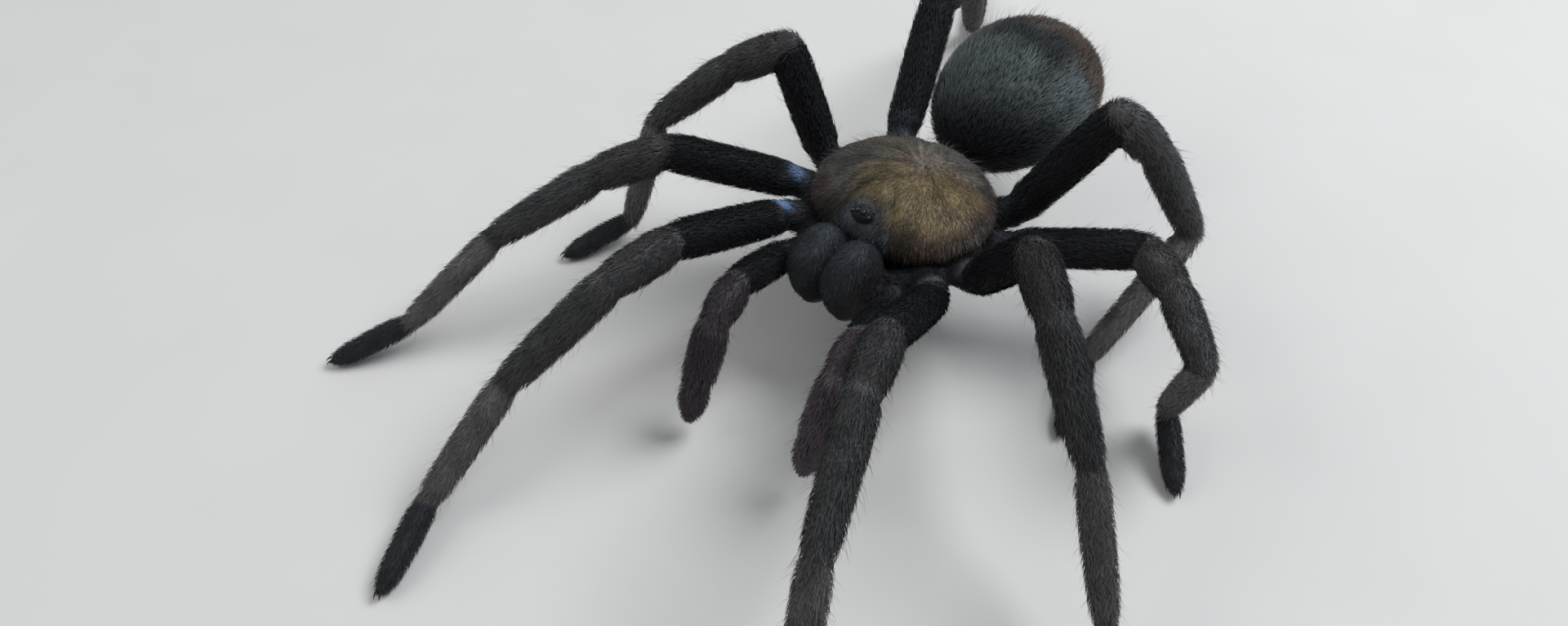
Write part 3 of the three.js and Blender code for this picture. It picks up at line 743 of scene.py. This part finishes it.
def coatPiece(piece, count):
    mine = ownerPiece[faceOwner] == piece
    thickness = np.array([hairStyles[part]["density"] for part in ownerPart])
    corners = skinCorners[mine]
    roots, normals, face = scatter(skinPoints, skinNormals, corners, thickness[faceOwner[mine]], count)
    owner = faceOwner[mine][face]
    colour = coatColour(roots, normals, owner)
    lies = np.zeros((count, 3))
    places = np.zeros((count, 2))
    style = {key: np.zeros(count) for key in ("length", "width", "rise", "tipRise", "sway")}
    total = sum(np.linalg.norm(f["end"] - f["start"]) for f in flesh
                if f["piece"] == piece and f["shape"] == "rod" and f["part"] != "hook") or 1.0
    for i in np.unique(owner):
        pick = owner == i
        shape, look, vary = flesh[i], hairStyles[ownerPart[i]], hairVary
        _, rise, turn, axis = measure(roots[pick], shape)
        number = int(pick.sum())
        lies[pick] = faceLie if shape["part"] == "chelicera" else axis
        stray = chance.random(number) < look["strays"]
        base = np.where(stray, look["stray"], look["length"]) * mm
        style["length"][pick] = base * chance.uniform(*vary["length"], number)
        widths = np.where(stray, vary["strayWidth"], chance.uniform(*vary["width"], number))
        style["width"][pick] = look["width"] * mm * widths
        for key, angle in (("rise", look["rise"]), ("tipRise", look["tip"])):
            lift = np.where(stray, angle + vary["strayRise"], angle)
            style[key][pick] = np.radians(lift + chance.normal(0, vary["turn"], number))
        style["sway"][pick] = vary["sway"]
        if shape["part"] == "femur":  # short hair where the thigh rounds off toward the hip
            style["length"][pick] *= 1 - 0.5 * smoothStep(-rise / mm, -0.9, 0.5)
        if shape["part"] == "tarsus":  # the end of the foot is a blunt brush
            length = np.linalg.norm(shape["end"] - shape["start"])
            brush = smoothStep((rise - length) / mm, -1.1, 0.3)
            style["length"][pick] *= 1 - 0.4 * brush
            style["rise"][pick] += np.radians(20) * brush
            style["tipRise"][pick] += np.radians(32) * brush
        around = turn / (2 * np.pi) + 0.5
        if piece in limbs:
            u, v = around, (shape["along"] + rise) / (total * 1.04) + 0.02
        elif shape["part"] == "abdomen":
            u, v = around, rise / (21 * mm)
        elif piece == "abdomen":
            u, v = turn / (8 * np.pi) + 0.5, 0.97 + rise / (400 * mm)
        elif piece == "face":
            u, v = turn / (4 * np.pi) + 0.5 + 0.25 * shape["side"], rise / (9.4 * mm)
        else:
            u, v, _ = ((roots[pick] - np.array(standPoint)) / (30 * mm) + 0.5).T
        places[pick] = np.stack((u, v), 1)
    uneven = 0.4 if piece == "face" else 0.25
    colour *= chance.uniform(1 - uneven, 1 + uneven, count)[:, None]
    spot, arc = hipPaintedGlintAndArcs(roots, normals)
    byHip = np.isin(ownerPart[owner], ("femur", "coxa"))
    # hair is shorter under the painted hip reflection and over the pale arcs
    style["length"] *= 1 - np.clip(spot * 0.7 + arc * 0.4, 0, 0.65) * byHip
    thing = growTufts("coat_" + piece, roots, normals, lies, style, colour, places,
                      (coats["charcoalHair"], coats["blackVelvet"]), isBlack[owner])


for name in limbs:
    coatPiece(name, pieceBudget["leg" if "leg" in name else "palp"])
coatPiece("abdomen", pieceBudget["abdomen"])
coatPiece("face", pieceBudget["face"])
coatPiece("underside", pieceBudget["underside"])
print("coat grown over the skin")

# carapace: a low dome with a raised head, a pit and grooves that ray from it

plateLook = {"halfWidth": 9.35, "frontLength": 7.95, "rearLength": 8.55, "dome": 3.3, "rim": 0.55,
             "headHeight": 1.9, "headY": -4.7, "headWidth": 3.8, "headLength": 3.6, "headStep": 0.3,
             "pitY": 3.2, "pitDepth": 0.75, "grooveDepth": 0.34, "neckDepth": 0.4}
grooveTurns = (58, 92, 122, 152)  # degrees from straight ahead, between the leg roots
eyeLook = {"y": -6.7, "halfWidth": 1.25, "halfLength": 0.85, "height": 0.95, "z": 2.85}
neckLook = {"apexX": 0.7, "apexY": -2.7, "spread": 0.65, "width": 0.6}  # the furrows that part head from body


def neckAside(x, y):
    # how far outside the furrow between head and body a point is
    return np.abs(x) - neckLook["apexX"] - neckLook["spread"] * (neckLook["apexY"] - y)


def neckFade(y):
    return smoothStep(-y, 1.6, 4.2) * (1 - smoothStep(-y, 7.2, 8.2))


def plateShape(unit):
    look = plateLook
    x = unit.x * look["halfWidth"]
    y = unit.y * (look["frontLength"] if unit.y < 0 else look["rearLength"])
    if unit.z < -0.02:
        return Vector((x, y, unit.z * look["rim"]))
    room = max(1 - unit.x ** 2 - unit.y ** 2, 0.0) ** 0.15
    head = look["headHeight"] * bell(y, look["headY"], look["headLength"]) * bell(x, 0, look["headWidth"])
    head += look["headStep"] * smoothStep(-neckAside(x, y), -0.2, 0.8) * neckFade(y)
    pit = look["pitDepth"] * bell(y, look["pitY"], 0.8) * bell(x, 0, 1.5)
    reach = math.hypot(x, y - look["pitY"])
    turn = math.degrees(math.atan2(abs(x), -(y - look["pitY"])))
    rays = sum(bell(turn, groove, 5.5 + 10 / (reach + 0.6)) for groove in grooveTurns)
    fade = min(reach / 2.0, 1.0) * (1 - min(reach / 9.5, 1.0) ** 3)
    neck = look["neckDepth"] * bell(neckAside(x, y), 0, neckLook["width"]) * neckFade(y)
    z = unit.z * look["dome"] + (head - pit - look["grooveDepth"] * rays * fade - neck) * room
    return Vector((x, y, z))


work = bmesh.new()
bmesh.ops.create_uvsphere(work, u_segments=128, v_segments=72, radius=1.0)
for vert in work.verts:
    vert.co = bodyPlace @ (plateShape(vert.co) * mm)
bmesh.ops.recalc_face_normals(work, faces=work.faces)
plate = smoothPiece(work, "carapace_plate", coats["bronzeHair"])
platePoints, plateNormals, plateCorners = readMesh(plate.data)


# carapace tones: the grey-green side is painted bluish sheen over the gold; the dark head front and the dark
# furrows are partly painted shade
plateTones = {"gold": (0.185, 0.135, 0.064), "side": (0.082, 0.084, 0.073), "rear": (0.102, 0.098, 0.087),
              "head": (0.062, 0.069, 0.079), "furrow": (0.012, 0.012, 0.014), "brown": (0.027, 0.018, 0.011),
              "pit": (0.195, 0.160, 0.148), "margin": (0.074, 0.045, 0.040), "fringe": (0.230, 0.214, 0.200)}
bodyTurn = np.array(bodyPlace.to_3x3())


def plateSpot(points):
    return ((points - np.array(standPoint)) @ bodyTurn / mm).T


def plateReach(x, y):
    length = np.where(y < 0, plateLook["frontLength"], plateLook["rearLength"])
    return np.hypot(x / plateLook["halfWidth"], y / length)


def plateColour(points):
    x, y, _ = plateSpot(points)
    x = x + 0.5 * mottle(points, 4.0, 21)  # the edges of the markings wander
    reach = plateReach(x, y)
    aside = neckAside(x, y)
    tone = layTones(plateTones, "gold", (
        ("rear", smoothStep(y, 1.5, 6.0)),
        # painted bluish sheen greys the gold over the right side
        ("side", smoothStep(-x, 0.5, 5.0) * (1 - 0.6 * smoothStep(y, 1.0, 5.0))),
        ("pit", np.exp(-((x / 2.3) ** 2 + ((y - 2.7) / 1.7) ** 2)) * 0.7),
        ("margin", smoothStep(reach, 0.80, 0.95) * 0.85),
        ("brown", np.exp(-(((np.abs(x) - 4.6) / 1.7) ** 2 + ((y + 6.6) / 1.5) ** 2))),
        # the dark bluish head front is grey hair and partly painted shade on its steep slope
        ("head", smoothStep(-y, 4.8, 6.4) * (1 - smoothStep(aside, -1.0, 0.2))),
        # the dark furrows are partly painted shade in the groove, stronger on the right
        ("furrow", bell(aside, 0, 0.55) * neckFade(y) * np.where(x < 0, 0.9, 0.6))))
    ray = np.arctan2(x, y - plateLook["pitY"]) * 2.6 * mm
    rays = mottle(np.stack((ray, reach * 1.1 * mm, ray * 0), 1), 0.9, 31)  # streaks that run out from the pit
    return tone * (1 + 0.17 * mottle(points, 1.9, 23) + 0.17 * mottle(points, 0.8, 29) + 0.24 * rays)[:, None]


storeColour(plate.data, plateColour(platePoints) * 0.75)
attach(plate, "root")
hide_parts("carapace")

plateHair = {"count": 15500, "length": 0.7, "width": 0.085, "rise": 22, "tip": 8}
upward = plateNormals[plateCorners[:, 0]][:, 2]
roots, normals, face = scatter(platePoints, plateNormals, plateCorners,
                               np.where(upward > -0.15, 1.0, 0.05), plateHair["count"])
number = plateHair["count"]
pitPoint = np.array(bodyPoint(0, plateLook["pitY"], 2.5))
across, behind, _ = plateSpot(roots)
reach = plateReach(across, behind)
edge = smoothStep(reach, 0.9, 0.99)
strayHair = chance.random(number) < 0.03
style = {
    "length": (plateHair["length"] * mm * chance.uniform(0.7, 1.3, number)
               * (1 + edge * 0.6 + strayHair * 1.2)),
    "width": plateHair["width"] * mm * chance.uniform(0.75, 1.2, number) * (1 - strayHair * 0.4),
    "rise": np.radians(plateHair["rise"] + chance.normal(0, 4, number) + strayHair * 25),
    "tipRise": np.radians(plateHair["tip"] + chance.normal(0, 4, number) + strayHair * 20),
    "sway": np.full(number, 0.16),
}
byEyes = 1 - smoothStep(np.hypot(across / 1.7, (behind - eyeLook["y"]) / 1.4), 0.75, 1.1)
style["length"] *= 1 - 0.55 * byEyes  # short hair round the eyes
tone = plateColour(roots) * chance.uniform(0.6, 1.5, number)[:, None]
fringe = (chance.random(number) < 0.5 * smoothStep(behind, -5.6, -1.5)) & (reach > 0.93)
tone[fringe] = np.array(plateTones["fringe"]) * 0.85
places = np.stack((across, behind), 1) / 20.5 + 0.5
plateCoat = growTufts("coat_carapace", roots, normals, roots - pitPoint, style, tone, places,
                      (coats["bronzeHair"],))
print("carapace and its coat made")

# eyes: eight glossy beads in two rows on a low mound

eyeRows = (
    {"y": -0.44, "beads": ((0.33, 0.29), (0.95, 0.27))},
    {"y": 0.32, "beads": ((0.33, 0.17), (0.95, 0.24))},
)
work = bmesh.new()
made = bmesh.ops.create_uvsphere(work, u_segments=32, v_segments=20, radius=1.0)
place = bodyPlace @ Matrix.Translation(Vector((0, eyeLook["y"], eyeLook["z"])) * mm)
size = Matrix.Diagonal((eyeLook["halfWidth"] * mm, eyeLook["halfLength"] * mm, eyeLook["height"] * mm, 1))
bmesh.ops.transform(work, matrix=place @ size, verts=made["verts"])
mound = smoothPiece(work, "eye_mound", coats["blackVelvet"])
moundPoints, moundNormals, moundCorners = readMesh(mound.data)
storeColour(mound.data, np.tile(np.array((0.02, 0.019, 0.018)), (len(moundPoints), 1)))
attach(mound, "root")
work = bmesh.new()
beadPlaces = []
for row in eyeRows:
    for x, radius in row["beads"]:
        for side in (-1, 1):
            slope = 1 - (x / eyeLook["halfWidth"]) ** 2 - (row["y"] / eyeLook["halfLength"]) ** 2
            z = eyeLook["height"] * math.sqrt(max(slope, 0.03))
            centre = place @ (Vector((side * x, row["y"], z - radius * 0.25)) * mm)
            bmesh.ops.create_uvsphere(work, u_segments=20, v_segments=14, radius=radius * mm,
                                      matrix=Matrix.Translation(centre))
            beadPlaces.append((*centre, radius * mm))
beadPlaces = np.array(beadPlaces)
eyes = smoothPiece(work, "eyes_glossy", hornMaterial("eyeGloss", (0.006, 0.0055, 0.006), 0.08))
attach(eyes, "root")
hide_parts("eyes")

moundHair = {"count": 900, "length": 0.4, "width": 0.06, "rise": 34, "tip": 16, "tone": (0.024, 0.025, 0.029)}
roots, normals, face = scatter(moundPoints, moundNormals, moundCorners, np.ones(len(moundCorners)),
                               moundHair["count"])
toBead = np.linalg.norm(roots[:, None, :] - beadPlaces[None, :, :3], axis=2) - beadPlaces[None, :, 3]
clear = toBead.min(axis=1) > 0.05 * mm  # no hair grows through an eye
roots, normals = roots[clear], normals[clear]
number = len(roots)
style = {key: moundHair[key] * mm * chance.uniform(0.7, 1.2, number) for key in ("length", "width")}
style["rise"] = np.radians(moundHair["rise"] + chance.normal(0, 6, number))
style["tipRise"] = np.radians(moundHair["tip"] + chance.normal(0, 6, number))
style["sway"] = np.full(number, 0.35)
tone = np.array(moundHair["tone"]) * chance.uniform(0.6, 1.6, number)[:, None]
spot = plateSpot(roots)
places = np.stack((spot[0] / 3.2 + 0.5, (spot[1] - eyeLook["y"]) / 3.2 + 0.5), 1)
lies = roots - np.array(place.translation) + np.array(faceLie) * 0.6 * mm
moundCoat = growTufts("coat_eye_mound", roots, normals, lies, style, tone, places,
                      (coats["blackVelvet"],))

# fangs and claws: tapering hooks spun from a small ring

fangLook = {"length": 6.3, "radius": 0.72, "bend": 70, "pitch": 300, "x": 2.0, "y": -12.7, "z": -4.7}
clawLook = {"length": 0.85, "radius": 0.11, "bend": 75, "apart": 0.26}


def modelHook(mesh, place, length, radius, bend, steps=14, sides=16):
    # a ring is drawn out along an arc, turned and narrowed at each step
    arc = length / math.radians(bend)
    ring = bmesh.ops.create_circle(mesh, cap_ends=True, segments=sides, radius=radius)["verts"]
    made = list(ring)
    face = [f for f in mesh.faces if all(v in ring for v in f.verts)][0]
    for step in range(steps):
        drawn = bmesh.ops.extrude_face_region(mesh, geom=[face])
        ring = [g for g in drawn["geom"] if isinstance(g, bmesh.types.BMVert)]
        old = face
        face = [g for g in drawn["geom"] if isinstance(g, bmesh.types.BMFace)][0]
        if step > 0:
            bmesh.ops.delete(mesh, geom=[old], context="FACES_ONLY")
        turn = Matrix.Rotation(-math.radians(bend) / steps, 4, "X")
        bmesh.ops.rotate(mesh, verts=ring, cent=(0, arc, 0), matrix=turn.to_3x3())
        share = (step + 1) / steps
        before = (1 - step / steps) ** 0.7 + 0.04
        middle = sum((v.co for v in ring), Vector()) / len(ring)
        thin = ((1 - share) ** 0.7 + 0.04) / before
        bmesh.ops.scale(mesh, verts=ring, vec=(thin, thin, thin), space=Matrix.Translation(-middle))
        made += ring
    bmesh.ops.transform(mesh, matrix=place, verts=made)


hornBlack = hornMaterial("fangHorn", (0.016, 0.007, 0.005), 0.3, specular=0.3)
for word, side in (("right", -1), ("left", 1)):
    work = bmesh.new()
    # the hook is drawn along +Z and bends toward +Y
    place = bodyPlace @ Matrix.Translation(Vector((side * fangLook["x"], fangLook["y"], fangLook["z"])) * mm)
    place = place @ Matrix.Rotation(math.radians(fangLook["pitch"]), 4, "X")
    place = place @ Matrix.Rotation(math.radians(-90), 4, "X") @ Matrix.Rotation(math.radians(180), 4, "Z")
    modelHook(work, place, fangLook["length"] * mm, fangLook["radius"] * mm, fangLook["bend"])
    bmesh.ops.recalc_face_normals(work, faces=work.faces)
    tooth = smoothPiece(work, word + "_fang_curved", hornBlack)
    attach(tooth, "root")
    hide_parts(word + "_fang")

bulbLook = {"radius": 0.62, "length": 0.85, "behind": 1.5, "below": 0.95, "spike": 1.5, "bend": 65}
work = bmesh.new()
# the male's organ is a glossy pear with a curved spike, folded under each palp's end
for name in ("right_palp", "left_palp"):
    way = limbs[name]["ways"][-1]
    down = (Vector((0, 0, -1)) + way * way.z).normalized()
    centre = limbs[name]["joints"][-1] + (down * bulbLook["below"] - way * bulbLook["behind"]) * mm
    basis = Matrix((way.cross(down), down, -way)).transposed().to_4x4()
    size = Matrix.Diagonal((bulbLook["radius"] * mm, bulbLook["radius"] * mm, bulbLook["length"] * mm, 1))
    made = bmesh.ops.create_uvsphere(work, u_segments=24, v_segments=16, radius=1.0)
    bmesh.ops.transform(work, matrix=Matrix.Translation(centre) @ basis @ size, verts=made["verts"])
    place = Matrix.Translation(centre - way * bulbLook["length"] * 0.7 * mm) @ basis
    modelHook(work, place, bulbLook["spike"] * mm, bulbLook["radius"] * 0.42 * mm, bulbLook["bend"], steps=10)
bmesh.ops.recalc_face_normals(work, faces=work.faces)
bulbs = smoothPiece(work, "palp_bulbs", hornMaterial("bulbHorn", (0.045, 0.014, 0.008), 0.18))
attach(bulbs, "root")

work = bmesh.new()
for name, limb in limbs.items():
    if "palp" in name:
        continue
    way = limb["ways"][-1]
    level = Vector((way.x, way.y, 0)).normalized()
    across = Vector((0, 0, 1)).cross(level)
    for apart in (-1, 1):
        root = limb["joints"][-1] + level * 0.45 * mm + across * apart * clawLook["apart"] * mm
        basis = Matrix((across, Vector((0, 0, -1)), level)).transposed().to_4x4()
        place = Matrix.Translation(root + Vector((0, 0, 0.25 * mm))) @ basis
        modelHook(work, place, clawLook["length"] * mm, clawLook["radius"] * mm, clawLook["bend"],
                  steps=6, sides=8)
bmesh.ops.recalc_face_normals(work, faces=work.faces)
claws = smoothPiece(work, "toe_claws", hornBlack)
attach(claws, "root")
print("eyes, fangs and claws made")

# floor, light and camera

work = bmesh.new()
bmesh.ops.create_grid(work, x_segments=1, y_segments=1, size=2.0)
floor = objectFrom(work, "floor")
material, tree, shader = newMaterial("paleFloor")
addRamp(tree, addNoise(tree, 60.0), shader, (0.60, 0.585, 0.56), (0.64, 0.625, 0.60))
setInputs(shader, {"Roughness": 0.9})
floor.data.materials.append(material)

lightLook = {
    "key": {"place": (0.16, 0.22, 0.42), "size": 0.30, "power": 2.2, "colour": (0.93, 0.96, 1.0)},
    "fill": {"place": (-0.30, -0.30, 0.35), "size": 0.40, "power": 0.8, "colour": (1.0, 0.98, 0.95)},
}
aim = Vector((0, 0, 0.012))
for name, look in lightLook.items():
    lamp = bpy.data.lights.new(name, "AREA")
    lamp.shape = "DISK"
    lamp.size = look["size"]
    lamp.energy = look["power"]
    lamp.color = look["colour"]
    thing = addObject(name, lamp)
    thing.location = look["place"]
    thing.rotation_euler = (aim - Vector(look["place"])).to_track_quat("-Z", "Y").to_euler()
world = bpy.data.worlds.new("softRoom")
world.use_nodes = True
world.node_tree.nodes["Background"].inputs["Color"].default_value = (0.86, 0.92, 1.0, 1)
world.node_tree.nodes["Background"].inputs["Strength"].default_value = 0.4
scene.world = world
scene.view_settings.view_transform = "Standard"

cameraLook = {"azimuth": 39.43, "elevation": 45.88, "distance": 125.21, "lens": 29.25,
              "lookAt": (-2.8, -15.35, 8.0)}  # the point is given from under the middle of the carapace
turn, slope = math.radians(cameraLook["azimuth"]), math.radians(cameraLook["elevation"])
back = Vector((math.sin(turn) * math.cos(slope), -math.cos(turn) * math.cos(slope), math.sin(slope)))
lookAt = Vector((standPoint.x, standPoint.y, 0)) + Vector(cameraLook["lookAt"]) * mm
lens = bpy.data.cameras.new("camera")
lens.lens = cameraLook["lens"]
lens.sensor_width = 36
lens.clip_start, lens.clip_end = 0.005, 10
camera = addObject("camera", lens)
camera.location = lookAt + back * cameraLook["distance"] * mm
camera.rotation_euler = (-back).to_track_quat("-Z", "Y").to_euler()
scene.camera = camera

print("done")
